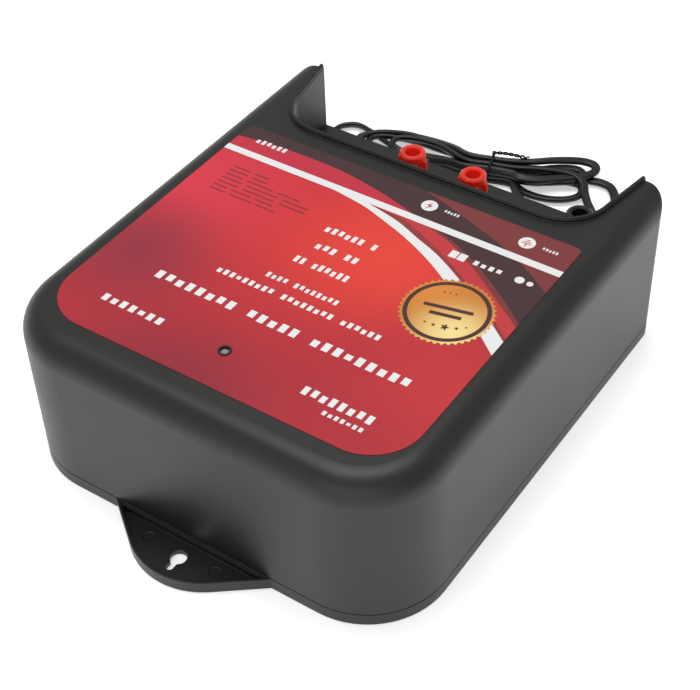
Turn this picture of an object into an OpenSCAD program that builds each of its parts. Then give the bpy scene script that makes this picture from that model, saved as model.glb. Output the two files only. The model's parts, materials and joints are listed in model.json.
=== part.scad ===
// Mains electric fence energizer, lying on its back plate with the front face up.
// +X is to the right, +Y runs from the hanging tab to the terminals, +Z is up.
// The origin is at the centre of the back plate's footprint, tab included, on the floor.

/* [Casing] */
// Width of the casing across its side walls
case_w = 207; // [195:1:220]
// Length of the casing from the hanging end to the terminal end
case_l = 233; // [228:1:240]
// Height of the front face above the back of the plate
case_h = 82.5; // [80:0.5:90]
// Wall thickness of the moulded cover
wall = 2.6; // [2.2:0.1:3]
// Plan radius of the corners at the hanging end
near_r = 38; // [30:1:42]
// Plan radius of the corners at the terminal end
far_r = 10; // [6:1:12]
// Radius of the rounded edge round the front face
edge_r = 12; // [9:0.5:12.5]

/* [Hanging tab] */
// How far the tab stands out from the casing
tab_d = 23; // [21:1:26]
// Radius of the tab's rounded end
tab_r = 35; // [30:1:38]
// Radius of the keyhole's round part
key_r = 3.8; // [3.4:0.1:4.2]
// Width of the keyhole's slot
key_slot = 3.5; // [3:0.1:4]

/* [Terminal recess] */
// Height of the ledge that the terminals stand on
ledge_z = 48; // [46:0.5:50]
// Radius of the recess corners
recess_r = 22; // [18:1:24]
// How far the raised bead stands above the front face
bead_h = 2.2; // [1.5:0.1:3]

/* [Terminals] */
// Position of the first fence terminal across the casing
post_1_x = -21.5; // [-24:0.5:-19]
// Position of the second fence terminal
post_2_x = 12.5; // [10:0.5:15]
// Position of the earth terminal
post_3_x = 69.5; // [66:0.5:71]
// Radius of the terminal studs
stud_r = 3; // [2.5:0.5:3]
// Height of a terminal knob
knob_h = 17.6; // [16:0.2:20]
// Radius of the knob's round collar
collar_r = 6.4; // [6:0.1:6.8]

/* [Mains lead] */
// Diameter of the mains lead
lead_d = 4.6; // [4:0.2:5]

/* [Hidden] */
$fn = 48;

half_w = case_w / 2;
y_near = -(case_l + tab_d) / 2 + tab_d;
y_far = y_near + case_l;
plate_h = 6;
plate_t = 2.6;
rim_t = 3;
seam_gap = 0.5;
cover_z = plate_h + seam_gap;

// Recess plan: two corner circles joined by a straight front and flared sides
recess_y = y_near + 185.2;
recess_cx = 62;
recess_cy = recess_y + recess_r;
flare = 9.2;
bead_w = 2;
bead_step = 0.2;
side_step = 0.05;

// Fixing posts of the cover, and the screws that come through the plate
near_posts = [[-85, -86], [85, -86]];
side_posts = [[-96.8, 0], [96.8, 0], [-96.8, 117], [96.8, 117]];
posts = concat(near_posts, side_posts);
post_r = 4.5;
side_post_top = 66;
screw_r = 1.5;

post_x = [post_1_x, post_2_x, post_3_x];
post_y = 106;
boss_h = 2.4;
shoulder_h = 0.8;
washer_t = 1.2;
clamp_z = ledge_z + boss_h + shoulder_h;
knob_z = clamp_z + washer_t;
insert_h = 9;

led_x = -3.5;
led_y = -66.5;

board_z = 12;
board_t = 1.6;
part_z = board_z + board_t;

core_x = 61;
core_y = -25;
core_z = 9;

gland_x = -48;
gland_z = 17;
gland_len = 24;

lead_r = lead_d / 2;
floor_z = lead_r;

// Route of the lead from the gland to the hank, and from the hank to the plug
lead_route = [[-48, 155, 17], [-48, 158, 16.8], [-50, 161, 15.5], [-56, 163, 12],
  [-66, 163, 8], [-77, 162, 4.6], [-88, 161, 2.7], [-99, 162, 2.3], [-108, 165, 2.3],
  [-116, 170, 2.3], [-120, 177, 2.3], [-119, 184, 2.3], [-114, 189, 2.3],
  [-109, 190, 2.3], [-104, 189, 2.3]];
plug_route = [[26, 213, 2.3], [31, 214, 2.3], [37, 213, 2.3], [42, 208, 2.3],
  [46, 201, 2.3], [50, 193, 2.3], [54, 184, 2.3], [57, 175, 2.3], [57, 166, 2.4],
  [53, 156, 3.2], [47, 150, 5], [41, 147, 7]];

// Hank of folded lead: a long flat bundle with round ends
hank_a = [-88, 183];
hank_b = [12, 203];
hank_w = 34;
hank_h = 13;
tie_at = 0.63;

plug_x = 26;
plug_y = 147;
plug_l = 35;
plug_w = 35;
plug_h = 14;
pin_gap = 18;
pin_l = 19;

// ---------- helpers ----------

// Profile of the cover across its width, with both top edges rounded
module arch2d(w, h, e) {
  translate([-w / 2, 0]) square([w, h - e]);
  translate([-w / 2 + e, 0]) square([w - 2 * e, h]);
  for (s = [-1, 1]) translate([s * (w / 2 - e), h - e]) circle(e);
}

// Profile of one wall and its rounded top edge, the wall at the far end of x
module edge2d(d, h, e) {
  square([d, h - e]);
  square([d - e, h]);
  translate([d - e, h - e]) circle(e);
}

// Block with rounded near corners and a rounded edge round three sides of its top
module shell_block(inset, z0, top) {
  w = half_w - inset;
  r = near_r - inset;
  e = edge_r - inset;
  yn = y_near + inset;
  yf = y_far - inset;
  fr = far_r - inset;
  h = top - z0;
  difference() {
    union() {
      translate([0, yf, z0]) rotate([90, 0, 0])
        linear_extrude(yf - yn - r) arch2d(2 * w, h, e);
      translate([w - r, yn + r, z0]) rotate([90, 0, -90])
        linear_extrude(2 * (w - r)) edge2d(r, h, e);
      for (s = [0, 1]) mirror([s, 0, 0]) translate([w - r, yn + r, z0])
        rotate_extrude(angle = 90, start = 270, $fn = 96) edge2d(r, h, e);
    }
    for (s = [-1, 1]) translate([s * (w - fr), yf - fr, z0 - 1]) linear_extrude(h + 2)
      difference() {
        translate([s > 0 ? 0 : -fr - 1, 0]) square([fr + 1, fr + 1]);
        circle(fr);
      }
  }
}

// Plan of the casing
module plan2d(inset) {
  w = half_w - inset;
  r = near_r - inset;
  fr = far_r - inset;
  yn = y_near + inset;
  yf = y_far - inset;
  translate([-w, yn + r]) square([2 * w, yf - yn - r - fr]);
  translate([-w + r, yn]) square([2 * (w - r), r + 1]);
  translate([-w + fr, yf - fr - 1]) square([2 * (w - fr), fr + 1]);
  for (s = [-1, 1]) {
    translate([s * (w - r), yn + r]) circle(r, $fn = 96);
    translate([s * (w - fr), yf - fr]) circle(fr);
  }
}

// Plan of the terminal recess, grown outwards by g
module recess2d(g) {
  r = recess_r + g;
  side_l = 60;
  translate([-recess_cx, recess_cy - r]) square([2 * recess_cx, r + side_l]);
  for (s = [0, 1]) mirror([s, 0, 0]) translate([recess_cx, recess_cy]) {
    circle(r, $fn = 96);
    rotate(-flare) translate([-r, 0]) square([2 * r - side_step, side_l]);
  }
}

// Bead that follows the edge of the recess, narrower at its top
module bead() {
  narrow = 0.4;
  translate([0, 0, case_h - 1]) linear_extrude(1 + bead_h - 0.7) bead2d(0);
  translate([0, 0, case_h]) linear_extrude(bead_h) bead2d(narrow);
}

module bead2d(narrow) {
  intersection() {
    difference() {
      recess2d(bead_step + bead_w - narrow);
      recess2d(bead_step + narrow);
    }
    translate([-half_w, 0]) square([case_w, y_far]);
  }
}

// Round tube swept along a route, eight sides
function cat(p, i) = p[max(0, min(len(p) - 1, i))];
function smooth(p, k) = [for (i = [0:len(p) - 2], j = [0:k - 1]) let (t = j / k)
  0.5 * (2 * cat(p, i) + (cat(p, i + 1) - cat(p, i - 1)) * t
    + (2 * cat(p, i - 1) - 5 * cat(p, i) + 4 * cat(p, i + 1) - cat(p, i + 2)) * t * t
    + (3 * cat(p, i) - cat(p, i - 1) - 3 * cat(p, i + 1) + cat(p, i + 2)) * t * t * t),
  p[len(p) - 1]];
function unit(v) = v / norm(v);
function tangent(p, i) = unit(cat(p, i + 1) - cat(p, i - 1));
function carried(n, t) = unit(n - (n * t) * t);
module tube(route, r, k = 2, n = 8) {
  p = smooth(route, k);
  m = len(p);
  first = carried(abs(tangent(p, 0)[2]) > 0.9 ? [1, 0, 0] : [0, 0, 1], tangent(p, 0));
  side = [for (i = 0, s = first; i < m; i = i + 1, s = carried(s, tangent(p, min(i, m - 1)))) s];
  ring = [for (i = [0:m - 1], j = [0:n - 1]) let (a = 360 * j / n, t = tangent(p, i))
    p[i] + r * (cos(a) * side[i] + sin(a) * cross(t, side[i]))];
  polyhedron(points = ring, faces = concat([[for (j = [0:n - 1]) j]],
    [[for (j = [n - 1:-1:0]) (m - 1) * n + j]],
    [for (i = [0:m - 2], j = [0:n - 1]) let (a = i * n + j, b = i * n + (j + 1) % n)
      [a, a + n, b + n, b]]));
}

module slot2d(a, b, w) {
  d = b - a;
  translate(a) rotate(atan2(d[1], d[0])) {
    circle(w / 2);
    translate([norm(d), 0]) circle(w / 2);
    translate([0, -w / 2]) square([norm(d), w]);
  }
}

module hex(af, h) {
  cylinder(d = af / cos(30), h = h, $fn = 6);
}

// ---------- casing ----------

// Plan of the hanging tab with its rounded end of radius r
module tab2d(r, y_end) {
  a = 37.5;
  c = [0, y_near - tab_d + tab_r];
  t = [r * sin(a), c[1] - r * cos(a)];
  e = [t[0] + (y_end - t[1]) / tan(a), y_end];
  intersection() {
    translate(c) circle(r, $fn = 96);
    translate([-t[0], c[1] - r - 1]) square([2 * t[0], t[1] - c[1] + r + 1.01]);
  }
  polygon([[-t[0], t[1]], t, e, [-e[0], e[1]]]);
}

key_y = y_near - 9.5;
key_end = key_y - 6;

module back_plate() {
  tab_floor = 2.5;
  rim = 1.4;
  color("#2c2c2b") difference() {
    union() {
      difference() {
        linear_extrude(plate_h) plan2d(0);
        translate([0, 0, plate_t]) linear_extrude(plate_h) plan2d(rim_t);
      }
      linear_extrude(plate_h - 0.3) tab2d(tab_r, y_near + 2);
      for (p = posts) translate([p[0], p[1], 0]) cylinder(r = 6, h = plate_h);
      for (p = board_posts) translate([p[0], p[1], 0]) cylinder(r = 3.5, h = board_z);
      for (p = bracket_posts) translate([p[0], p[1], 0]) cylinder(r = 5, h = core_z - 1.5);
      for (x = [-60, 0, 30]) translate([x - 0.8, y_near + 8, 0])
        cube([1.6, case_l - 16, plate_t + 1.4]);
      for (y = [-60, 70]) translate([-half_w + 8, y - 0.8, 0])
        cube([case_w - 16, 1.6, plate_t + 1.4]);
    }
    translate([0, 0, tab_floor]) linear_extrude(plate_h) tab2d(tab_r - rim, y_near - rim);
    translate([0, key_y, -1]) cylinder(r = key_r, h = plate_h);
    translate([0, 0, -1]) linear_extrude(plate_h)
      slot2d([0, key_y], [0, key_end], key_slot);
    for (s = [-1, 1]) translate([s * 18, y_near - 7.5, tab_floor - 0.2])
      cylinder(r = 2.6, h = 1);
    for (p = posts) translate([p[0], p[1], -1]) {
      cylinder(r = screw_r + 0.3, h = plate_h + 2);
      cylinder(r = 4.2, h = 4);
    }
    for (p = concat(board_posts, bracket_posts)) translate([p[0], p[1], 3])
      cylinder(r = 1.3, h = 20);
  }
}

module front_cover() {
  color("#2f2f2e") difference() {
    union() {
      difference() {
        union() {
          difference() {
            shell_block(0, cover_z, case_h);
            difference() {
              shell_block(wall, 0, case_h - wall);
              translate([0, 0, ledge_z - wall]) linear_extrude(case_h) recess2d(wall);
            }
          }
          bead();
        }
        translate([0, 0, ledge_z]) linear_extrude(case_h) recess2d(0);
      }
      for (p = near_posts) translate([p[0], p[1], cover_z])
        cylinder(r = post_r, h = case_h - cover_z - wall + 0.5);
      for (p = side_posts) translate([p[0], p[1], cover_z])
        cylinder(r = post_r, h = side_post_top - cover_z);
      for (x = post_x) translate([x, post_y, ledge_z - 1]) cylinder(r = 9, h = boss_h + 1);
    }
    for (p = posts) translate([p[0], p[1], cover_z - 1]) cylinder(r = screw_r + 0.1, h = 24);
    for (x = post_x) translate([x, post_y, ledge_z - 10]) cylinder(r = stud_r + 0.1, h = 30);
    translate([led_x, led_y, case_h - 10]) cylinder(r = 2.7, h = 20);
    translate([gland_x, y_far - 10, gland_z]) rotate([-90, 0, 0]) cylinder(r = 6, h = 20);
  }
}

module cover_gasket() {
  color("#151515") translate([0, 0, plate_h]) linear_extrude(seam_gap) difference() {
    plan2d(0.7);
    plan2d(2.3);
  }
}

module cover_screws() {
  color("silver") for (p = posts) translate([p[0], p[1], 0]) difference() {
    union() {
      translate([0, 0, 0.6]) cylinder(r = 3.8, h = 2.4);
      translate([0, 0, 2]) cylinder(r = screw_r, h = 24);
      translate([0, 0, 26]) cylinder(r1 = screw_r, r2 = 0.3, h = 2);
    }
    translate([0, 0, 0]) cylinder(r = 1.8, h = 1.8, $fn = 4);
  }
}

label_w = 180;
label_y0 = y_near + 18.5;
label_y1 = y_near + 173.3;
label_t = 0.25;

module label2d() {
  nr = 23.5;
  fr = 3.5;
  w = label_w / 2;
  translate([-w, label_y0 + nr]) square([label_w, label_y1 - label_y0 - nr - fr]);
  translate([-w + nr, label_y0]) square([label_w - 2 * nr, nr + 1]);
  translate([-w + fr, label_y1 - fr - 1]) square([label_w - 2 * fr, fr + 1]);
  for (s = [-1, 1]) {
    translate([s * (w - nr), label_y0 + nr]) circle(nr);
    translate([s * (w - fr), label_y1 - fr]) circle(fr);
  }
}

module label_overlay() {
  color("#c8203a") translate([0, 0, case_h]) linear_extrude(label_t) difference() {
    label2d();
    translate([led_x, led_y]) circle(3);
  }
}

module led_bezel() {
  color("#101010") translate([led_x, led_y, 0]) difference() {
    union() {
      translate([0, 0, case_h]) cylinder(r = 2.95, h = 0.7);
      translate([0, 0, case_h - wall - 3]) cylinder(r = 2.65, h = wall + 3.1);
      translate([0, 0, case_h - wall - 3]) cylinder(r1 = 2.7, r2 = 3.2, h = 2.9);
    }
    translate([0, 0, case_h - 20]) cylinder(r = 2.2, h = 30);
  }
}

module status_led() {
  color("#8f8a86") translate([led_x, led_y, 0]) {
    translate([0, 0, case_h - 7]) cylinder(r = 2.1, h = 6.4);
    translate([0, 0, case_h - 0.6]) intersection() {
      translate([0, 0, -2]) sphere(r = 2.9);
      cylinder(r = 2.1, h = 3);
    }
    translate([0, 0, case_h - 8]) cylinder(r = 2.6, h = 1.1);
  }
}

module led_wires() {
  color("#b01818") for (s = [-1, 1]) {
    tube([[led_x + s * 1.3, led_y, case_h - 8.05], [led_x + s * 1.3, led_y, case_h - 14],
      [led_x + s * 2, led_y + 2, case_h - 26], [led_x + s * 2, led_y + 8, case_h - 42],
      [led_x + s * 2, led_y + 8, part_z + 8], [led_x + s * 2, led_y + 8, part_z + 0.05]], 0.6, 3);
  }
}

// ---------- board and its parts ----------

board_x0 = -88;
board_x1 = 28;
board_y0 = -76;
board_y1 = 58;
board_posts = [[board_x0 + 5, board_y0 + 5], [board_x1 - 5, board_y0 + 5],
  [board_x0 + 5, board_y1 - 5], [board_x1 - 5, board_y1 - 5]];

module circuit_board() {
  color("#2e6b3a") translate([0, 0, board_z]) difference() {
    translate([board_x0, board_y0, 0]) cube([board_x1 - board_x0, board_y1 - board_y0, board_t]);
    for (p = board_posts) translate([p[0], p[1], -1]) cylinder(r = 1.7, h = 5);
  }
}

module board_screws() {
  color("silver") for (p = board_posts) translate([p[0], p[1], 0]) difference() {
    union() {
      translate([0, 0, part_z]) cylinder(r = 2.8, h = 1.8);
      translate([0, 0, 5]) cylinder(r = 1.2, h = part_z - 4);
    }
    translate([0, 0, part_z + 0.8]) cylinder(r = 1.4, h = 2, $fn = 4);
  }
}

cap_at = [[-64, -48], [-64, -8], [-64, 32]];
cap_r = 17.5;
cap_h = 52;

module storage_capacitors() {
  color("#3a5aa0") for (p = cap_at) translate([p[0], p[1], part_z + 0.1]) {
    cylinder(r = cap_r, h = cap_h - 1.5);
    cylinder(r = cap_r - 1.5, h = cap_h);
  }
}

module capacitor_strap() {
  color("#202020") translate([0, 0, part_z + 34]) linear_extrude(6) difference() {
    slot2d([cap_at[0][0], cap_at[0][1]], [cap_at[2][0], cap_at[2][1]], 2 * cap_r + 3);
    slot2d([cap_at[0][0], cap_at[0][1]], [cap_at[2][0], cap_at[2][1]], 2 * cap_r + 0.6);
  }
}

module filter_capacitor() {
  color("#d8b020") translate([-34, 36, part_z + 0.1]) cube([26, 11, 20]);
}

module small_capacitors() {
  color("#262a33") for (p = [[-36, -64, 5], [-22, -64, 5], [14, -56, 4], [16, 40, 6.5]])
    translate([p[0], p[1], part_z + 0.1]) cylinder(r = p[2], h = 3 * p[2]);
}

module thyristor() {
  color("#1c1c1e") translate([0, -38, part_z + 3]) {
    translate([-5, 0, 3]) cube([10, 4.2, 9]);
    translate([-5, 2.9, 12]) cube([10, 1.3, 6]);
    for (x = [-2.5, 0, 2.5]) translate([x - 0.4, 1.6, -2.9]) cube([0.8, 0.8, 6]);
  }
}

module heat_sink() {
  color("#b9bcc0") translate([-21, -33.7, part_z + 0.1]) {
    cube([42, 3, 32]);
    for (i = [0:6]) translate([i * 6.6, 2.9, 0]) cube([1.6, 11, 32]);
  }
}

module power_resistors() {
  color("#e6e2d8") for (i = [0:2]) translate([-36, -12 + i * 13, part_z + 0.5]) cube([34, 9, 9]);
}

module rectifier_diodes() {
  color("#222224") for (i = [0:3]) translate([2 + i * 6, 12, part_z + 3]) rotate([-90, 0, 0]) {
    cylinder(r = 2, h = 8);
    translate([0, 0, -4]) cylinder(r = 0.6, h = 16);
  }
}

module control_chip() {
  color("#1a1a1a") translate([-22, -52, part_z + 0.6]) {
    cube([9.6, 6.4, 3.4]);
    for (i = [0:3], s = [0, 1]) translate([0.8 + i * 2.54, s * 7.2 - 0.8, -0.5])
      cube([0.7, 0.8, 2.6]);
  }
}

module varistor() {
  color("#2b62b8") translate([1, 46, part_z + 9]) rotate([90, 0, 0]) cylinder(r = 7, h = 4);
  color("silver") for (x = [-2, 4]) translate([x, 44, part_z + 0.1]) cylinder(r = 0.5, h = 5);
}

module fuse_tube() {
  color("#d7e4ea") translate([-31, 29, part_z + 7]) rotate([0, 90, 0]) {
    cylinder(r = 2.4, h = 20);
    cylinder(r = 2.6, h = 5);
    translate([0, 0, 15]) cylinder(r = 2.6, h = 5);
  }
}

module fuse_clips() {
  color("#c9a227") for (x = [-30.5, -15.5]) translate([x, 29, part_z + 0.1]) difference() {
    translate([0, -3.4, 0]) cube([4, 6.8, 9]);
    translate([-1, 0, 6.9]) rotate([0, 90, 0]) cylinder(r = 2.7, h = 6);
    translate([-1, -2, 6.9]) cube([6, 4, 5]);
  }
}

module terminal_block() {
  color("#2f7d4f") translate([-30, 49.5, part_z + 0.1]) difference() {
    cube([11, 8, 10]);
    for (x = [3, 8]) {
      translate([x, 4, 5]) cylinder(r = 1.8, h = 6);
      translate([x, 2, 4]) rotate([-90, 0, 0]) cylinder(r = 1.5, h = 8);
    }
  }
}

module live_wire() {
  color("#7a4a22") tube([[-49.4, 120.8, 17], [-49, 112, 17], [-46, 96, 20], [-38, 80, 22],
    [-29, 70, 19.5], [-27, 62, 17.8], [-27, 54, 17.7]], 1.1, 2);
}

module neutral_wire() {
  color("#2456a8") tube([[-46.6, 120.8, 17], [-45, 112, 17.5], [-40, 96, 22], [-31, 80, 24],
    [-23, 70, 20], [-22, 62, 17.8], [-22, 54, 17.7]], 1.1, 2);
}

// ---------- transformer ----------

leg = 22;
stack = 25;
win = 11;
win_h = 33;
core_h = win_h + 2 * win;
core_l = 6 * win;
bracket_posts = [[core_x, core_y - core_l / 2 - 8], [core_x, core_y + core_l / 2 + 8]];

module rounded2d(x, y, r) {
  translate([-x / 2, -y / 2 + r]) square([x, y - 2 * r]);
  translate([-x / 2 + r, -y / 2]) square([x - 2 * r, y]);
  for (s = [-1, 1], t = [-1, 1]) translate([s * (x / 2 - r), t * (y / 2 - r)]) circle(r);
}

module transformer_core() {
  color("#5b5f66") translate([core_x, core_y, core_z]) difference() {
    translate([-stack / 2, -core_l / 2, 0]) cube([stack, core_l, core_h]);
    for (s = [-1, 1]) translate([-stack, s * (leg + win) / 2 - win / 2, win])
      cube([2 * stack, win, win_h]);
  }
}

module transformer_bobbin() {
  color("#d9d3c0") translate([core_x, core_y, core_z + win]) difference() {
    union() {
      linear_extrude(win_h - 0.4) rounded2d(stack + 3, leg + 3, 1);
      for (z = [0.2, 14, win_h - 1.6]) translate([0, 0, z]) linear_extrude(1.4)
        rounded2d(46, leg + 2 * win - 0.6, 2);
    }
    translate([0, 0, -1]) linear_extrude(win_h + 2) rounded2d(stack + 0.4, leg + 0.4, 0.2);
  }
}

module winding(z, h, x, y) {
  translate([core_x, core_y, core_z + win + z]) linear_extrude(h) difference() {
    rounded2d(x, y, 4);
    rounded2d(stack + 3.2, leg + 3.2, 1);
  }
}

module primary_winding() {
  color("#b5652a") winding(1.7, 12.2, 42, 39);
}

module secondary_winding() {
  color("#8c2b20") winding(15.5, 15.8, 43, 40.5);
}

module transformer_bracket() {
  t = 1.5;
  color("#c4c7cb") translate([core_x, core_y, core_z]) difference() {
    union() {
      translate([-9, -core_l / 2 - 14, -t]) cube([18, core_l + 28, t]);
      for (s = [-1, 1]) translate([-9, s * (core_l / 2 + t / 2 + 0.1) - t / 2, -t]) cube([18, t, core_h + t]);
      translate([-9, -core_l / 2 - t, core_h + 0.1]) cube([18, core_l + 2 * t, t]);
    }
    for (s = [-1, 1]) translate([0, s * (core_l / 2 + 8), -5]) cylinder(r = 1.8, h = 10);
  }
}

module bracket_screws() {
  color("silver") for (p = bracket_posts) translate([p[0], p[1], 0]) difference() {
    union() {
      translate([0, 0, core_z]) cylinder(r = 3.4, h = 2.2);
      translate([0, 0, 3.5]) cylinder(r = 1.2, h = core_z - 3);
    }
    translate([0, 0, core_z + 1]) cylinder(r = 1.6, h = 2, $fn = 4);
  }
}

tag_y = [-40, -25, -10];

module transformer_tags() {
  color("#c9a227") for (y = tag_y)
    translate([41, y - 1.5, core_z + win + win_h - 0.2]) cube([2, 3, 5]);
}

// ---------- terminals ----------

tag_z = ledge_z - wall - 1.8;
tag_drop = -1.4;

module ring_tags() {
  color("#c0c4c8") for (x = post_x) translate([x, post_y, tag_z]) difference() {
    union() {
      cylinder(r = 5, h = 0.8);
      translate([-2, -8.5, 0]) cube([4, 5, 0.8]);
      translate([0, -7, tag_drop]) rotate([90, 0, 0]) cylinder(r = 2.2, h = 6);
    }
    translate([0, 0, -1]) cylinder(r = stud_r + 0.15, h = 4);
    translate([0, -8.4, tag_drop]) rotate([90, 0, 0]) cylinder(r = 1.5, h = 6);
  }
}

wire_z = tag_z + tag_drop;

module fence_wire_1() {
  color("#c22222") tube([[42, -10, 57.9], [42, -10, 59.4], [42, -10, 61], [40, 2, 65], [30, 28, 61],
    [10, 56, 50], [-10, 73, 41], [-19.5, 82, 40], [-21.5, 88.5, wire_z], [-21.5, 93, wire_z],
    [-21.5, 97.5, wire_z]], 1.3, 3);
}

module fence_wire_2() {
  color("#c22222") tube([[42, -25, 57.9], [42, -25, 59.4], [42, -25, 61], [42.5, -8, 69], [40, 26, 64],
    [28, 56, 51], [16, 74, 41.5], [12.8, 82, 40], [12.5, 88.5, wire_z], [12.5, 93, wire_z],
    [12.5, 97.5, wire_z]], 1.3, 3);
}

module earth_wire() {
  color("#3f7d3a") tube([[42, -40, 57.9], [42, -40, 59.4], [42, -40, 61], [47, -26, 70], [58, 4, 70],
    [66, 34, 60], [70, 62, 46], [70, 80, 40], [69.5, 88.5, wire_z], [69.5, 93, wire_z],
    [69.5, 97.5, wire_z]], 1.3, 3);
}

module terminal_studs() {
  color("#c8cacc") for (x = post_x) translate([x, post_y, 0]) {
    translate([0, 0, tag_z - 8]) cylinder(r = stud_r, h = knob_z + 8 - tag_z + 7.4);
    translate([0, 0, knob_z + 7.3]) cylinder(r1 = stud_r, r2 = stud_r - 0.6, h = 0.7);
    translate([0, 0, ledge_z + boss_h]) cylinder(r = 5.4, h = shoulder_h);
  }
}

module stud_washers() {
  color("#d0d2d4") for (x = post_x) translate([x, post_y, ledge_z - wall - 1]) difference() {
    cylinder(r = 6, h = 1);
    translate([0, 0, -1]) cylinder(r = stud_r + 0.15, h = 3);
  }
}

module stud_nuts() {
  color("#bfc2c6") for (x = post_x) translate([x, post_y, tag_z - 5]) difference() {
    hex(10, 5);
    translate([0, 0, -1]) cylinder(r = stud_r + 0.02, h = 7);
  }
}

module clamp_washer(i) {
  color("#d0d2d4") translate([post_x[i], post_y, clamp_z]) difference() {
    cylinder(r = 7.2, h = washer_t);
    translate([0, 0, -1]) cylinder(r = stud_r + 0.25, h = 4);
  }
}

// Knob: six grip lobes under a round collar with a deep socket
module knob(i) {
  collar_z = knob_h - 3.6;
  translate([post_x[i], post_y, knob_z]) difference() {
    union() {
      cylinder(r = 5.9, h = collar_z);
      cylinder(r = 7.4, h = 1.6);
      for (a = [0:60:300]) rotate(a + 8) translate([6, 0, 0])
        cylinder(r1 = 1.75, r2 = 1.6, h = collar_z - 0.4);
      translate([0, 0, collar_z - 0.5]) cylinder(r = collar_r, h = 3.2);
      translate([0, 0, collar_z + 2.7]) cylinder(r1 = collar_r, r2 = collar_r - 0.9, h = 0.9);
    }
    translate([0, 0, -1]) cylinder(r = 4.25, h = insert_h + 1.1);
    translate([0, 0, insert_h]) cylinder(r = stud_r + 0.25, h = 20);
    translate([0, 0, insert_h + 1.4]) cylinder(r = 3.6, h = 20);
    translate([0, 0, knob_h - 0.7]) cylinder(r1 = 3.6, r2 = 4.4, h = 0.8);
  }
}

module knob_insert(i) {
  color("#c9a54a") translate([post_x[i], post_y, knob_z]) difference() {
    union() {
      cylinder(r = 4.2, h = 3.4);
      cylinder(r = 3.8, h = insert_h);
      translate([0, 0, 5]) cylinder(r = 4.2, h = insert_h - 5);
    }
    translate([0, 0, -1]) cylinder(r = stud_r + 0.05, h = 20);
  }
}

module clamp_washer_1() { clamp_washer(0); }
module clamp_washer_2() { clamp_washer(1); }
module clamp_washer_3() { clamp_washer(2); }
module fence_knob_1() { color("#e8322a") knob(0); }
module fence_knob_2() { color("#e8322a") knob(1); }
module earth_knob() { color("#262626") knob(2); }
module knob_insert_1() { knob_insert(0); }
module knob_insert_2() { knob_insert(1); }
module knob_insert_3() { knob_insert(2); }

// ---------- mains lead ----------

module lead_gland() {
  color("#191919") translate([gland_x, y_far, gland_z]) rotate([-90, 0, 0]) difference() {
    union() {
      translate([0, 0, -7]) cylinder(r = 5.9, h = 7.1);
      cylinder(r = 9, h = 3);
      translate([0, 0, 3]) cylinder(r1 = 6.2, r2 = 3.4, h = gland_len);
      for (i = [0:4]) translate([0, 0, 6 + i * 4]) cylinder(r = 5.7 - i * 0.45, h = 2);
    }
    translate([0, 0, -8]) cylinder(r = lead_r + 0.05, h = 60);
  }
}

module gland_nut() {
  color("#222222") translate([gland_x, y_far - wall - 3.1, gland_z]) rotate([-90, 0, 0]) difference() {
    hex(17, 3);
    translate([0, 0, -1]) cylinder(r = 5.95, h = 5);
  }
}

module mains_lead() {
  color("#1b1b1b") tube(lead_route, lead_r, 2);
}

module lead_hank() {
  color("#1b1b1b") linear_extrude(hank_h) slot2d(hank_a, hank_b, hank_w);
}

module hank_tie() {
  d = hank_b - hank_a;
  a = atan2(d[1], d[0]);
  c = hank_a + d * tie_at;
  color("#101010") translate([c[0], c[1], 0]) rotate(a) difference() {
    translate([-1.5, -hank_w / 2 - 0.9, 0]) cube([3, hank_w + 1.8, hank_h + 0.9]);
    translate([-3, -hank_w / 2 - 0.05, -1]) cube([6, hank_w + 0.1, hank_h + 1.05]);
  }
}

module plug_lead() {
  color("#1b1b1b") tube(plug_route, lead_r, 2);
}

module plug_body() {
  color("#1d1d1d") translate([plug_x, plug_y, plug_h / 2]) {
    difference() {
      union() {
        translate([-plug_l, 0, -plug_h / 2]) linear_extrude(plug_h) {
          translate([0, -plug_w / 2]) square([14, plug_w]);
          polygon([[13.9, -plug_w / 2], [plug_l, -7], [plug_l, 7], [13.9, plug_w / 2]]);
        }
        rotate([0, 90, 0]) translate([0, 0, -0.5]) cylinder(r1 = 6, r2 = 3.4, h = 15.5);
      }
      rotate([0, 90, 0]) translate([0, 0, 6]) cylinder(r = lead_r + 0.05, h = 20);
    }
  }
}

sleeve_l = 9;
neck_r = 1.4;
sleeve_r = 1.75;
pin_r = 2;

module plug_pins() {
  color("#c9ccd0") for (s = [-1, 1])
    translate([plug_x - plug_l, plug_y + s * pin_gap / 2, plug_h / 2]) rotate([0, -90, 0]) {
      translate([0, 0, -3]) cylinder(r = neck_r, h = sleeve_l + 4);
      translate([0, 0, sleeve_l]) cylinder(r = pin_r, h = pin_l - pin_r - sleeve_l);
      translate([0, 0, pin_l - pin_r]) sphere(r = pin_r);
    }
}

module pin_sleeves() {
  color("#1d1d1d") for (s = [-1, 1])
    translate([plug_x - plug_l, plug_y + s * pin_gap / 2, plug_h / 2]) rotate([0, -90, 0])
      difference() {
        cylinder(r = sleeve_r, h = sleeve_l);
        translate([0, 0, -1]) cylinder(r = neck_r + 0.02, h = sleeve_l + 2);
      }
}

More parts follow.
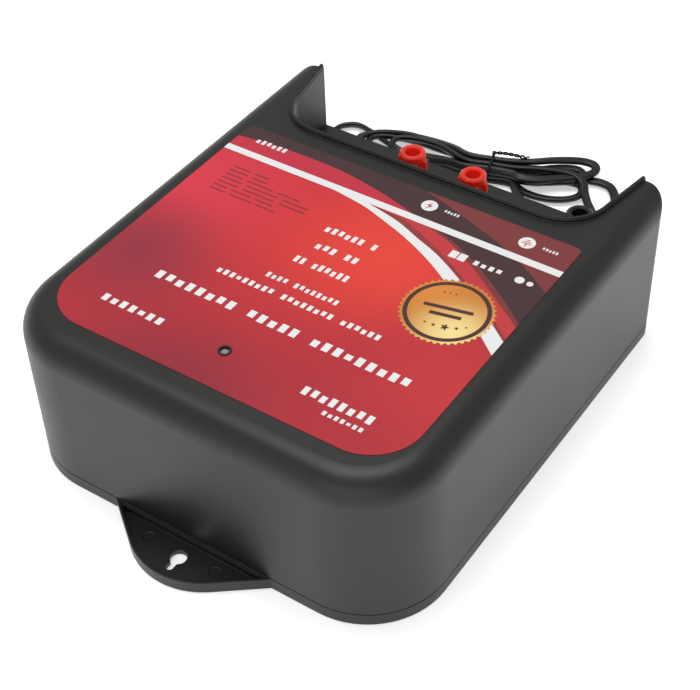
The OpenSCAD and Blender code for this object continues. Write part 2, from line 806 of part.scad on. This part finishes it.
back_plate();
front_cover();
cover_gasket();
cover_screws();
label_overlay();
led_bezel();
status_led();
led_wires();
circuit_board();
board_screws();
transformer_core();
transformer_bobbin();
primary_winding();
secondary_winding();
transformer_bracket();
bracket_screws();
transformer_tags();
storage_capacitors();
capacitor_strap();
filter_capacitor();
small_capacitors();
thyristor();
heat_sink();
power_resistors();
rectifier_diodes();
control_chip();
varistor();
fuse_tube();
fuse_clips();
terminal_block();
live_wire();
neutral_wire();
fence_wire_1();
fence_wire_2();
earth_wire();
ring_tags();
terminal_studs();
stud_washers();
stud_nuts();
clamp_washer_1();
clamp_washer_2();
clamp_washer_3();
fence_knob_1();
fence_knob_2();
earth_knob();
knob_insert_1();
knob_insert_2();
knob_insert_3();
lead_gland();
gland_nut();
mains_lead();
lead_hank();
hank_tie();
plug_lead();
plug_body();
plug_pins();
pin_sleeves();
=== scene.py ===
"""Mains electric fence energizer, lying on its back plate on a plain pale floor."""
import json
import math
import bpy
from mathutils import Matrix, Vector


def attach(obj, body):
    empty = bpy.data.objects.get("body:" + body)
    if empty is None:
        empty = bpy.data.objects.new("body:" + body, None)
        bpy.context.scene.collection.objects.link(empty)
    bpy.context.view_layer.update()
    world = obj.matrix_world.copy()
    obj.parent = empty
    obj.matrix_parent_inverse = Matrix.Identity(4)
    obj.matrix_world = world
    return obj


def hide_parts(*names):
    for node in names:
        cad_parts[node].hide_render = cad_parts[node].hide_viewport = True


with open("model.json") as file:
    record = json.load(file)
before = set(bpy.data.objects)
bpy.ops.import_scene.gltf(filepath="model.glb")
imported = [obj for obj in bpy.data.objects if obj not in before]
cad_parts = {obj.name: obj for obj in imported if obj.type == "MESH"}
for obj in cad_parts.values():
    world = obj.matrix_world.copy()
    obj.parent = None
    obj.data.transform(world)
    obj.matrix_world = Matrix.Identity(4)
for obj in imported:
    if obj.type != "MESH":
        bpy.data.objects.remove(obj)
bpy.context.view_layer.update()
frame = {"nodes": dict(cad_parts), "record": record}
nodes = frame["nodes"]
scene = bpy.context.scene
MM = 0.001
TOP = 82.5               # height of the front face, millimetres
INK = 82.77              # first printed layer, just over the label film
INK_STEP = 0.02          # each later layer lies this much higher
LABEL_HALF_W = 90.0      # half the width of the label film
LABEL_FAR_Y = 68.3       # far edge of the label film
LABEL_CORNER = 156.2     # x + y where the film's rounded far corners are cut
LEAD_W = 5.0             # width of the flat mains lead
LEAD_T = 3.0             # its thickness
LEAD_STEP = 2.0          # distance between rings along the lead


# ---------- camera ----------

cam_data = bpy.data.cameras.new("camera")
cam = bpy.data.objects.new("camera", cam_data)
scene.collection.objects.link(cam)
cam_data.sensor_width = 36.0
cam_data.lens = 80.4
right = Vector((0.82948, 0.55786, -0.02755))
up = Vector((-0.36319, 0.57619, 0.73219))
back = Vector((0.42433, -0.59733, 0.68055))
cam.matrix_world = Matrix((
    (right.x, up.x, back.x, 0.30949), (right.y, up.y, back.y, -0.41856),
    (right.z, up.z, back.z, 0.51836), (0, 0, 0, 1)))
cam_data.clip_start, cam_data.clip_end = 0.01, 50
scene.camera = cam


# ---------- materials ----------

def new_material(name, colour, rough, metal=0.0, grain=400.0, bump=0.1, depth=0.0001,
                 vary=0.12, tint=0.1, edge=0.0, shine=0.5):
    """Material with fine grain as bump, and broad patches of roughness and tint.

    vary and tint are the share by which roughness and colour change; edge is the radius that
    softens sharp corners, in metres.
    """
    m = bpy.data.materials.new(name)
    m.use_nodes = True
    nt = m.node_tree
    sh = nt.nodes["Principled BSDF"]
    sh.inputs["Metallic"].default_value = metal
    sh.inputs["Specular IOR Level"].default_value = shine
    co = nt.nodes.new("ShaderNodeTexCoord")
    fine = nt.nodes.new("ShaderNodeTexNoise")
    fine.inputs["Scale"].default_value = grain
    fine.inputs["Detail"].default_value = 4
    nt.links.new(co.outputs["Object"], fine.inputs["Vector"])
    broad = nt.nodes.new("ShaderNodeTexNoise")
    broad.inputs["Scale"].default_value = 14
    broad.inputs["Detail"].default_value = 5
    nt.links.new(co.outputs["Object"], broad.inputs["Vector"])
    r = nt.nodes.new("ShaderNodeMapRange")
    r.inputs["To Min"].default_value = rough * (1 - vary)
    r.inputs["To Max"].default_value = rough * (1 + vary)
    nt.links.new(broad.outputs["Fac"], r.inputs["Value"])
    nt.links.new(r.outputs["Result"], sh.inputs["Roughness"])
    mix = nt.nodes.new("ShaderNodeMix")
    mix.data_type = "RGBA"
    mix.inputs["A"].default_value = [c * (1 - tint) for c in colour] + [1]
    mix.inputs["B"].default_value = [min(1, c * (1 + tint)) for c in colour] + [1]
    nt.links.new(broad.outputs["Fac"], mix.inputs["Factor"])
    nt.links.new(mix.outputs["Result"], sh.inputs["Base Color"])
    b = nt.nodes.new("ShaderNodeBump")
    b.inputs["Strength"].default_value = bump
    b.inputs["Distance"].default_value = depth
    nt.links.new(fine.outputs["Fac"], b.inputs["Height"])
    nt.links.new(b.outputs["Normal"], sh.inputs["Normal"])
    if edge:
        bev = nt.nodes.new("ShaderNodeBevel")
        bev.samples = 6
        bev.inputs["Radius"].default_value = edge
        nt.links.new(bev.outputs["Normal"], b.inputs["Normal"])
    return m


def lin(r, g, b):
    """Linear colour of an 8-bit display colour."""
    return [(c / 255) ** 2.2 for c in (r, g, b)]


PAINT = {
    "casing_black": dict(colour=[0.008, 0.0077, 0.0062], rough=0.41, grain=1800, bump=0.2, depth=6e-5,
                         vary=0.22,
                         edge=0.0006),
    "gasket_rubber": dict(colour=[0.006] * 3, rough=0.7, grain=900, shine=0.3),
    "screw_steel": dict(colour=[0.62, 0.63, 0.64], rough=0.32, metal=1, grain=900),
    "label_print": dict(colour=lin(200, 60, 62), rough=0.34, grain=1200, bump=0.05),
    "black_plastic": dict(colour=[0.008, 0.008, 0.0078], rough=0.4, grain=1200, bump=0.15, edge=0.0003),
    "led_lens": dict(colour=[0.3, 0.27, 0.25], rough=0.55, grain=700),
    "wire_red": dict(colour=[0.45, 0.015, 0.015], rough=0.4, grain=800),
    "wire_green": dict(colour=[0.04, 0.2, 0.04], rough=0.4, grain=800),
    "wire_brown": dict(colour=[0.16, 0.055, 0.015], rough=0.4, grain=800),
    "wire_blue": dict(colour=[0.02, 0.07, 0.35], rough=0.4, grain=800),
    "board_green": dict(colour=[0.015, 0.13, 0.045], rough=0.35, grain=500),
    "core_steel": dict(colour=[0.22, 0.23, 0.25], rough=0.45, metal=0.8, grain=1500, bump=0.3),
    "bobbin_plastic": dict(colour=[0.6, 0.55, 0.42], rough=0.5),
    "copper_winding": dict(colour=[0.5, 0.17, 0.06], rough=0.35, metal=0.7, grain=1500, bump=0.4),
    "zinc_plate": dict(colour=[0.62, 0.63, 0.65], rough=0.3, metal=1, grain=700),
    "brass": dict(colour=[0.66, 0.43, 0.12], rough=0.28, metal=1, grain=700),
    "capacitor_blue": dict(colour=[0.02, 0.07, 0.3], rough=0.3),
    "capacitor_yellow": dict(colour=[0.6, 0.38, 0.03], rough=0.4),
    "component_black": dict(colour=[0.015, 0.015, 0.017], rough=0.5, grain=1200),
    "ceramic_white": dict(colour=[0.7, 0.67, 0.6], rough=0.6, grain=900, bump=0.3),
    "fuse_glass": dict(colour=[0.75, 0.84, 0.86], rough=0.08),
    "block_green": dict(colour=[0.03, 0.18, 0.07], rough=0.4),
    "knob_red": dict(colour=[0.95, 0.035, 0.015], rough=0.36, grain=900, bump=0.12, edge=0.0005),
    "lead_pvc": dict(colour=[0.0035, 0.0035, 0.0035], rough=0.4, grain=900, bump=0.12),
    "pin_nickel": dict(colour=[0.68, 0.67, 0.64], rough=0.16, metal=1),
}
MAT = {k: new_material(k, **v) for k, v in PAINT.items()}
knob_glow = MAT["knob_red"].node_tree.nodes["Principled BSDF"].inputs
knob_glow["Subsurface Weight"].default_value = 0.7
knob_glow["Subsurface Radius"].default_value = (1.0, 0.25, 0.15)
knob_glow["Subsurface Scale"].default_value = 0.01
SLOT_OF = {s["node"]: s["material_slot"] for s in frame["record"]["subparts"]}
for name, ob in nodes.items():
    ob.data.materials.clear()
    ob.data.materials.append(MAT[SLOT_OF[name]])


def mesh_object(name, verts, faces, material, body="casing", smooth=True):
    """Mesh from points in millimetres."""
    me = bpy.data.meshes.new(name)
    me.from_pydata([[c * MM for c in v] for v in verts], [], faces)
    me.validate()
    me.update()
    me.polygons.foreach_set("use_smooth", [smooth] * len(me.polygons))
    me.materials.append(material)
    ob = bpy.data.objects.new(name, me)
    scene.collection.objects.link(ob)
    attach(ob, body)
    return ob


# ---------- mains lead ----------

lead_route = [[-48, 155, 17], [-48, 158, 16.8], [-50, 161, 15.5], [-56, 163, 12],
  [-66, 163, 8], [-77, 162, 4.6], [-88, 161, 2.7], [-99, 162, 2.3], [-108, 165, 2.3],
  [-116, 170, 2.3], [-120, 177, 2.3], [-119, 184, 2.3], [-114, 189, 2.3],
  [-109, 190, 2.3], [-104, 189, 2.3]]
plug_route = [[26, 213, 2.3], [31, 214, 2.3], [37, 213, 2.3], [42, 208, 2.3],
  [46, 201, 2.3], [50, 193, 2.3], [54, 184, 2.3], [57, 175, 2.3], [57, 166, 2.4],
  [53, 156, 3.2], [47, 150, 5], [41, 147, 7]]

TIE = Vector((-25, 190, 0))
ALONG = Vector((0.952, 0.306, 0))
ACROSS = Vector((-0.306, 0.952, 0))


def through(col, layer, way):
    """Points of one strand where it runs straight through the tie, way +1 towards +X."""
    pts = []
    for s in (-13, 0, 13):
        spread = 1.0 if s == 0 else 1.12
        p = TIE + ALONG * (s * way) + ACROSS * (col * 5.2 * spread)
        pts.append([p.x, p.y, 1.9 + layer * 3.15])
    return pts


folds = [
    [[-97, 187, 2.6], [-89, 184, 3], [-80, 181, 3.2], [-70, 180, 3], [-58, 181, 2.6]],
    through(-1, 0, 1),
    [[-1, 185, 2.3], [8, 185, 2.3], [17, 188, 2.3], [24, 193.5, 2.3], [26.5, 200, 2.5],
     [23, 205.5, 3], [16, 205, 3.2], [8, 201, 3], [0, 195.5, 2.5]],
    through(0, 0, -1),
    [[-50, 184, 2.2], [-65, 180, 2.5], [-80, 175, 2.5], [-93, 171.5, 2.5], [-102, 174, 2.5],
     [-104, 180, 3], [-100, 185.5, 3.2], [-93, 189.5, 3.5], [-84, 193, 4], [-74, 195.5, 4.5],
     [-62, 196, 5.5], [-50, 194.5, 7]],
    through(1, 2, 1),
    [[-5, 203, 9.5], [3, 210, 9], [11, 216.5, 8], [17, 220.5, 7], [23, 221, 6.5],
     [25.5, 216.5, 6], [21.5, 209.5, 6], [12.5, 201, 6.5], [3.5, 192, 7.5], [-5, 187.5, 8.5]],
    through(-1, 2, -1),
    [[-46, 180.5, 7.5], [-58, 178.5, 6], [-72, 176, 5], [-84, 173.5, 4.5], [-93, 174.5, 4.5],
     [-96.5, 180, 4.5], [-92, 185.5, 4.6], [-83, 188.5, 4.8], [-71, 190.5, 5], [-58, 190.5, 5.2]],
    through(1, 1, 1),
    [[-4, 199.5, 6], [4, 206.5, 6], [11, 212, 5.5], [16.5, 214.5, 5], [20.5, 212, 4.8],
     [19, 205.5, 4.8], [12, 200, 4.8], [4, 194.5, 5], [-5, 190.5, 5]],
    through(0, 1, -1),
    [[-50, 183, 5.5], [-62, 179, 6.2], [-73, 175.5, 7], [-81, 178, 7.6], [-80, 185, 8],
     [-69, 189, 8.3], [-55, 189.5, 8.4]],
    through(0, 2, 1),
    [[-2, 199, 8.6], [8, 204, 8], [17, 207, 7], [24, 205.5, 5.5], [28, 200, 4], [33, 194, 3],
     [38.5, 188.5, 2.6], [43, 182, 2.5], [43, 174.5, 2.5], [37, 169.5, 2.5], [28, 168.5, 2.5],
     [16, 171, 2.5], [4, 176, 2.8], [-4, 182, 4]],
    through(-1, 1, -1),
    [[-48, 180, 5], [-62, 175.5, 5], [-77, 170.5, 5], [-91, 168.5, 5], [-99, 172, 5.2],
     [-100, 179.5, 5.5], [-95, 186, 5.8], [-86, 190.5, 6.2], [-75, 193, 6.8], [-62, 193.5, 6],
     [-49, 192, 3.5]],
    through(1, 0, 1),
    [[-2, 202.5, 2.2], [9, 208.5, 2.3], [18, 211.5, 2.3]],
]
lead_points = lead_route + [p for part in folds for p in part] + plug_route


def spline(points, step):
    """Catmull-Rom curve through the points, then evenly spaced points on it."""
    pts = [Vector(p) for p in points]
    dense = []
    for i in range(len(pts) - 1):
        a, b, c, d = pts[max(i - 1, 0)], pts[i], pts[i + 1], pts[min(i + 2, len(pts) - 1)]
        for j in range(12):
            t = j / 12
            dense.append(0.5 * (2 * b + (c - a) * t + (2 * a - 5 * b + 4 * c - d) * t * t
                                + (3 * b - a - 3 * c + d) * t ** 3))
    dense.append(pts[-1])
    out, need = [dense[0]], step
    for a, b in zip(dense, dense[1:]):
        seg = (b - a).length
        while seg >= need > 0:
            a = a.lerp(b, need / seg)
            out.append(a.copy())
            seg = (b - a).length
            need = step
        need -= seg
    if (out[-1] - dense[-1]).length > 0.3 * step:
        out.append(dense[-1])
    return out


def sweep(name, line, section, turn, material):
    """Closed tube with the given section along line; turn(i) tilts its wide side at point i."""
    n, verts = len(section), []
    for i, p in enumerate(line):
        t = (line[min(i + 1, len(line) - 1)] - line[max(i - 1, 0)]).normalized()
        side = t.cross(Vector((0, 0, 1)))
        side = side.normalized() if side.length > 0.05 else Vector((1, 0, 0))
        top = side.cross(t).normalized()
        a = turn(i)
        u = side * math.cos(a) + top * math.sin(a)
        v = top * math.cos(a) - side * math.sin(a)
        for x, y in section:
            verts.append(p + u * x + v * y)
    faces = [[i * n + j, i * n + (j + 1) % n, (i + 1) * n + (j + 1) % n, (i + 1) * n + j]
             for i in range(len(line) - 1) for j in range(n)]
    faces += [list(range(n))[::-1], [(len(line) - 1) * n + j for j in range(n)]]
    return mesh_object(name, verts, faces, material)


def twin_section(wide, thick, n=9):
    """Outline of flat two-core lead: two round halves with a shallow groove between them."""
    r, d = thick / 2, (wide - thick) / 2
    out = []
    for s in (1, -1):
        for k in range(n):
            a = math.radians(-100 + 200 * k / (n - 1))
            out.append((s * (d + r * math.cos(a)), s * r * math.sin(a)))
    return out


line = spline(lead_points, LEAD_STEP)

def lead_turn(i):
    """Tilt of the flat lead at ring i, which wanders slowly along its length."""
    s = i * LEAD_STEP
    return 0.5 + 0.42 * math.sin(s / 47.0) + 0.25 * math.sin(s / 19.0 + 1.0)


for i, p in enumerate(line):
    half = LEAD_T / 2 + (LEAD_W - LEAD_T) / 2 * abs(math.sin(lead_turn(i)))
    p.z = max(p.z, half + 0.02)
lead = sweep("mains_lead_visual", line, twin_section(LEAD_W, LEAD_T), lead_turn,
             MAT["lead_pvc"])
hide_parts("mains_lead", "lead_hank", "plug_lead")


# ---------- twist tie round the bundle ----------

def ring_band(name, centre, axis_u, half_u, half_v, z_mid, width, thick, material):
    """Flat strip bent into a rounded band round the bundle."""
    verts, n = [], 40
    for k in range(n):
        a = 2 * math.pi * k / n
        cu, cv = math.cos(a), math.sin(a)
        su = math.copysign(abs(cu) ** 0.6, cu)
        sv = math.copysign(abs(cv) ** 0.6, cv)
        for grow in (0, thick):
            for w in (-width / 2, width / 2):
                skew = 1.2 * math.sin(a)
                p = centre + axis_u * (su * (half_u + grow)) + ALONG * (w + skew)
                verts.append((p.x, p.y, max(0.02, z_mid + sv * (half_v + grow))))
    faces = []
    for k in range(n):
        a, b = 4 * k, 4 * ((k + 1) % n)
        faces += [[a, a + 1, b + 1, b], [a + 3, a + 2, b + 2, b + 3],
                  [a + 1, a + 3, b + 3, b + 1], [a + 2, a, b, b + 2]]
    return mesh_object(name, verts, faces, material)


tie = ring_band("hank_tie_visual", TIE, ACROSS, 8.4, 5.3, 5.5, 1.6, 0.5, MAT["gasket_rubber"])
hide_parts("hank_tie")
TIE_R = 0.5              # radius of one wire of the tie
TIE_TWIST_R = 0.55       # radius of the helix that its two ends make
TIE_TURNS = 3.2
round_section = [(TIE_R * math.cos(2 * math.pi * k / 8), TIE_R * math.sin(2 * math.pi * k / 8))
                 for k in range(8)]
for k in (0, 1):
    pts = []
    for i in range(31):
        t = i / 30
        base = Vector((-27 + 19 * t, 196.5 + 6.5 * t, 11.2 + 1.2 * math.sin(3.0 * t) - 1.4 * t))
        a = 2 * math.pi * (TIE_TURNS * t + 0.5 * k)
        # the two ends part over the last quarter
        r = TIE_TWIST_R * (1.0 + 4.8 * max(0, t - 0.75))
        pts.append(base + ACROSS * (r * math.cos(a)) + Vector((0, 0, r * math.sin(a))))
    sweep(f"tie_end_{k + 1}", spline(pts, 0.8), round_section, lambda i: 0.0,
          MAT["gasket_rubber"])


# ---------- printed label ----------

def dist_mix(nt, co, base, centre, radius, colour, strength=1.0, flat=1.0, soft=0.0):
    """Adds a soft round patch of colour to what base gives."""
    sub = nt.nodes.new("ShaderNodeVectorMath")
    sub.operation = "SUBTRACT"
    sub.inputs[1].default_value = (centre[0] * MM, centre[1] * MM, TOP * MM)
    nt.links.new(co.outputs["Object"], sub.inputs[0])
    sc = nt.nodes.new("ShaderNodeVectorMath")
    sc.operation = "MULTIPLY"
    sc.inputs[1].default_value = (1, flat, 0)
    nt.links.new(sub.outputs["Vector"], sc.inputs[0])
    ln = nt.nodes.new("ShaderNodeVectorMath")
    ln.operation = "LENGTH"
    nt.links.new(sc.outputs["Vector"], ln.inputs[0])
    mr = nt.nodes.new("ShaderNodeMapRange")
    mr.interpolation_type = "SMOOTHSTEP"
    mr.inputs["From Min"].default_value = soft * radius * MM
    mr.inputs["From Max"].default_value = radius * MM
    mr.inputs["To Min"].default_value = strength
    mr.inputs["To Max"].default_value = 0.0
    nt.links.new(ln.outputs["Value"], mr.inputs["Value"])
    mix = nt.nodes.new("ShaderNodeMix")
    mix.data_type = "RGBA"
    mix.inputs["B"].default_value = list(colour) + [1]
    nt.links.new(mr.outputs["Result"], mix.inputs["Factor"])
    nt.links.new(base, mix.inputs["A"])
    return mix.outputs["Result"]


def print_material(name, colour, patches=(), rough=0.34):
    """Printed film: an even colour with soft round patches of other colours on it."""
    m = new_material(name, colour, rough, grain=1200, bump=0.05, tint=0.03, shine=0.3)
    nt = m.node_tree
    sh = nt.nodes["Principled BSDF"]
    co = [n for n in nt.nodes if n.type == "TEX_COORD"][0]
    out = sh.inputs["Base Color"].links[0].from_socket
    for p in patches:
        out = dist_mix(nt, co, out, **p)
    nt.links.new(out, sh.inputs["Base Color"])
    return m


label_mat = print_material("label_base", lin(178, 48, 58), [
    dict(centre=(0, 25), radius=110, colour=lin(212, 56, 56), flat=1.15, soft=0.1),
    dict(centre=(22, 20), radius=62, colour=lin(232, 70, 56), strength=0.9),
    dict(centre=(-84, 22), radius=74, colour=lin(224, 60, 78), strength=0.85),
    dict(centre=(-76, -34), radius=52, colour=lin(148, 50, 64), strength=0.95),
    dict(centre=(-14, -96), radius=74, colour=lin(140, 46, 58), flat=1.4, strength=0.95),
    dict(centre=(84, -36), radius=52, colour=lin(206, 58, 60), strength=0.7),
])
nodes["label_overlay"].data.materials.clear()
nodes["label_overlay"].data.materials.append(label_mat)
INKS = {
    "white": print_material("ink_white", lin(236, 236, 236)),
    "dark": print_material("ink_dark", lin(72, 50, 52)),
    "maroon": print_material("ink_maroon", lin(126, 58, 58)),
    "crimson": print_material("ink_crimson", lin(196, 52, 70)),
    "deep": print_material("ink_deep", lin(150, 58, 62)),
    "red": print_material("ink_red", lin(196, 60, 64)),
    "mauve": print_material("ink_mauve", lin(166, 60, 72)),
    "gold": print_material("ink_gold", lin(205, 132, 60), [
        dict(centre=(70, -8), radius=26, colour=lin(250, 226, 150)),
        dict(centre=(48, 12), radius=20, colour=lin(226, 140, 66), strength=0.7)], rough=0.3),
    "brown": print_material("ink_brown", lin(82, 52, 48)),
    "grey": print_material("ink_grey", lin(150, 52, 58)),
}
ink_shapes = {}


def ink(colour, points, layer):
    """Adds a flat printed shape, cut off where it leaves the label."""
    pts = clip(points)
    if len(pts) >= 3:
        ink_shapes.setdefault((colour, layer), []).append(pts)


def clip(points):
    """The part of a polygon that lies on the label."""
    sides = ((1, 0, LABEL_HALF_W), (-1, 0, LABEL_HALF_W), (0, 1, LABEL_FAR_Y),
             (1, 1, LABEL_CORNER), (-1, 1, LABEL_CORNER))
    for kx, ky, limit in sides:
        out = []
        for a, b in zip(points, points[1:] + points[:1]):
            da, db = (kx * p[0] + ky * p[1] - limit for p in (a, b))
            if da <= 0:
                out.append(a)
            if (da <= 0) != (db <= 0):
                t = da / (da - db)
                out.append((a[0] + (b[0] - a[0]) * t, a[1] + (b[1] - a[1]) * t))
        points = out
    return points


def curve2(pts):
    """Smooth line through flat points."""
    return [(p.x, p.y) for p in spline([(x, y, 0) for x, y in pts], 1.0)]


# far band: dark, with a crimson wave under it and a maroon corner
edge_wave = curve2([(-92, 57.8), (-70, 60.3), (-50, 61), (-30, 60.2), (-10, 56.8), (2, 54), (14, 50.4)])
ink("dark", [(-92, 70)] + edge_wave + [(14, 48), (92, 48), (92, 70)], 1)
ink("crimson", [(-92, 50)] + edge_wave + [(14, 49)], 2)
corner = curve2([(4, 70), (30, 62), (60, 51.5), (75, 44), (92, 33)])
ink("maroon", [(92, 70)] + corner[::-1] + [(4, 70)], 2)
swoosh = curve2([(-4, 70), (16, 65), (34, 58.5), (56, 49), (74, 39), (92, 27)])
# below the stripe: dark field, red ribbon, deep shade over the white branch
low_dark = curve2([(24, 46.5), (40, 41), (56, 32), (74, 20), (92, 7.5)])
ink("maroon", [(30, 46.5)] + low_dark + [(92, 46.5)], 1)
ink("dark", swoosh + corner[::-1], 3)
ink("dark", [(28, 46.6)] + curve2([(40, 43), (58, 34), (76, 22), (92, 10)])
    + curve2([(92, 30), (78, 39.5), (66, 46.6)]), 2)
ribbon_low = curve2([(8, 46.5), (22, 41.5), (40, 33), (60, 21.5), (78, 9.5), (92, -1)])
ink("red", ribbon_low + low_dark[::-1] + [(10, 46.5)], 3)
branch_low = curve2([(-27, 46.6), (-10, 44), (0, 41.2), (20, 34.2), (40, 24.5), (60, 11.5),
                     (78, -1.5), (92, -12.5)])
branch_up = curve2([(-8, 46.6), (10, 42.6), (24, 37.2), (40, 30.8), (60, 19.4), (78, 7.4), (92, -3)])
ink("deep", branch_up + [(92, 2)] + curve2([(92, 3), (76, 12), (56, 25), (36, 36), (12, 45.5)]), 2)
ink("white", branch_low + branch_up[::-1], 4)
ink("white", [(-92, 46.5), (92, 46.5), (92, 50.5), (-92, 50.5)], 5)


def disc(cx, cy, r, n=32):
    """Outline of a round spot."""
    return [(cx + r * math.cos(2 * math.pi * k / n), cy + r * math.sin(2 * math.pi * k / n))
            for k in range(n)]


def bar(x0, y0, x1, y1):
    """Outline of a rectangle."""
    return [(x0, y0), (x1, y0), (x1, y1), (x0, y1)]


def line_of_print(x0, x1, y0, y1, lengths, colour="white", layer=5, solid=False):
    """A row of plain bars where a line of print would be, or of short strokes, one a letter."""
    pitch = (x1 - x0) / (sum(lengths) + len(lengths) - 1)
    x = x0
    for w in lengths:
        if solid:
            ink(colour, bar(x, y0, x + w * pitch, y1), layer)
        else:
            for k in range(w):
                low = 0.0 if (k * 7 + w) % 5 else 0.16
                ink(colour, bar(x + pitch * (k + 0.14), y0 + (y1 - y0) * low, x + pitch * (k + 0.74),
                                y1 - (y1 - y0) * (0.0 if (k * 5 + w) % 3 else 0.2)), layer)
        x += (w + 1) * pitch


line_of_print(-14, 14, 19.3, 23.4, [6, 1])
line_of_print(-11, 12, 7.3, 11.4, [3, 2])
line_of_print(-14, 15, -4.8, -0.6, [2, 6])
line_of_print(-18, 20, -19.4, -16.2, [4, 8])
line_of_print(-38, 47, -28.2, -24.8, [9, 8, 6])
line_of_print(-59, 72, -45.2, -40.2, [8, 5, 9])
line_of_print(-69, -35, -68.8, -64.6, [7])
line_of_print(36, 71, -70.2, -65.4, [8])
line_of_print(50, 70, -75.4, -73.0, [7])
for k, (a, b) in enumerate([(-77, -57), (-77, -56), (-77, -35), (-77, -28), (-77, -28),
                            (-77, -44), (-77, -40)]):
    y = 37.2 - 3.1 * k
    line_of_print(a, b, y - 0.55, y + 0.45, [4, 6, 5] if b > -50 else [5, 4], "grey", 1, True)
line_of_print(-80, -62, 57.6, 60.8, [6])
line_of_print(24.5, 32.5, 59, 60.8, [5])
line_of_print(74.5, 82.5, 59, 60.8, [5])
line_of_print(53.5, 68.5, 34.4, 37.4, [4])
ink("white", bar(42, 33.6, 45.7, 38.4), 5)
ink("white", bar(46.3, 33.6, 50, 38.4), 5)
ink("white", disc(76.5, 36, 2.2), 5)
ink("white", disc(81.5, 36, 1.5), 5)

# fence and earth marks
ink("white", disc(16.8, 59.6, 3.9), 5)
ink("red", [(17.9, 62.6), (15.4, 59.5), (16.9, 59.2), (15.7, 56.6), (18.4, 59.9), (16.8, 60.2)], 6)
ink("white", disc(67, 59.6, 3.9), 5)
for w, y in ((2.4, 59.0), (1.6, 60.2), (0.8, 61.4)):
    ink("red", bar(67 - w, y - 0.25, 67 + w, y + 0.25), 6)
ink("red", bar(66.7, 56.8, 67.3, 59), 6)

# gold seal with stars
SEAL = (60.8, 2.5)
teeth = 44
ink("gold", [(SEAL[0] + (20.2 + 0.6 * math.cos(teeth * a)) * math.cos(a),
              SEAL[1] + (20.2 + 0.6 * math.cos(teeth * a)) * math.sin(a))
             for a in (2 * math.pi * k / (teeth * 6) for k in range(teeth * 6))], 5)
ink("brown", disc(SEAL[0], SEAL[1], 18.8, 72), 6)
ink("gold", disc(SEAL[0], SEAL[1], 16.8, 72), 7)


def star(cx, cy, r, tilt=0.3):
    """Outline of a five-pointed star."""
    return [(cx + (r if k % 2 == 0 else 0.42 * r) * math.cos(tilt + math.pi * k / 5),
             cy + (r if k % 2 == 0 else 0.42 * r) * math.sin(tilt + math.pi * k / 5))
            for k in range(10)]


for dx, dy, r in ((4.2, -9, 2.3), (-0.6, -10.2, 1.2), (8.8, -7.2, 1.2), (-4.6, -10.4, 0.8),
                  (12, -4.6, 0.8), (-7.4, 10, 0.7), (-4.8, 10.8, 0.7), (-2.2, 11.2, 0.7)):
    ink("brown", star(SEAL[0] + dx, SEAL[1] + dy, r), 8)
for w, h in ((11, 4.4), (7, 0.0)):
    c, s = math.cos(0.22), math.sin(0.22)
    ink("brown", [(SEAL[0] + x * c - (y + h - 2.6) * s, SEAL[1] + x * s + (y + h - 2.6) * c)
                  for x, y in bar(-w, -1.0, w, 1.0)], 8)

for (colour, layer), shapes in ink_shapes.items():
    verts, faces = [], []
    for pts in shapes:
        area = sum(a[0] * b[1] - b[0] * a[1] for a, b in zip(pts, pts[1:] + pts[:1]))
        pts = pts if area > 0 else pts[::-1]
        clean = [p for i, p in enumerate(pts)
                 if math.dist(p, pts[i - 1]) > 0.01]
        start = len(verts)
        verts += [(x, y, INK + INK_STEP * layer) for x, y in clean]
        faces.append(list(range(start, len(verts))))
    mesh_object(f"print_{colour}_{layer}", verts, faces, INKS[colour],
                smooth=False)


# ---------- floor, light ----------

floor_mat = new_material("floor", [0.93, 0.93, 0.93], 0.85, grain=60, bump=0.02, tint=0.005)
floor_glow = floor_mat.node_tree.nodes["Principled BSDF"].inputs
floor_glow["Emission Color"].default_value = (1, 1, 1, 1)
floor_glow["Emission Strength"].default_value = 0.46
FLOOR_HALF = 6.0         # metres
FLOOR_Z = -0.0004
floor_mesh = bpy.data.meshes.new("floor")
floor_mesh.from_pydata([(sx * FLOOR_HALF, sy * FLOOR_HALF, FLOOR_Z)
                        for sx, sy in ((-1, -1), (1, -1), (1, 1), (-1, 1))], [], [[0, 1, 2, 3]])
floor_mesh.materials.append(floor_mat)
floor = bpy.data.objects.new("floor", floor_mesh)
scene.collection.objects.link(floor)

world = bpy.data.worlds.new("world")
scene.world = world
world.use_nodes = True
bg = world.node_tree.nodes["Background"]
bg.inputs["Color"].default_value = (1, 1, 1, 1)
bg.inputs["Strength"].default_value = 0.5


def area_light(name, at, aim, size, power):
    """Rectangular lamp at one point, turned to face another; metres and watts."""
    d = bpy.data.lights.new(name, "AREA")
    d.shape = "RECTANGLE"
    d.size, d.size_y = size
    d.energy = power
    o = bpy.data.objects.new(name, d)
    o.location = at
    o.rotation_mode = "QUATERNION"
    o.rotation_quaternion = (Vector(aim) - Vector(at)).to_track_quat("-Z", "Y")
    scene.collection.objects.link(o)


MIDDLE = (0, 0, 0.05)
area_light("key", (-0.2, 0.12, 1.6), MIDDLE, (1.1, 0.9), 12)
area_light("front", (0.4, -1.5, 0.7), MIDDLE, (2.2, 1.0), 7)
scene.view_settings.view_transform = "Standard"
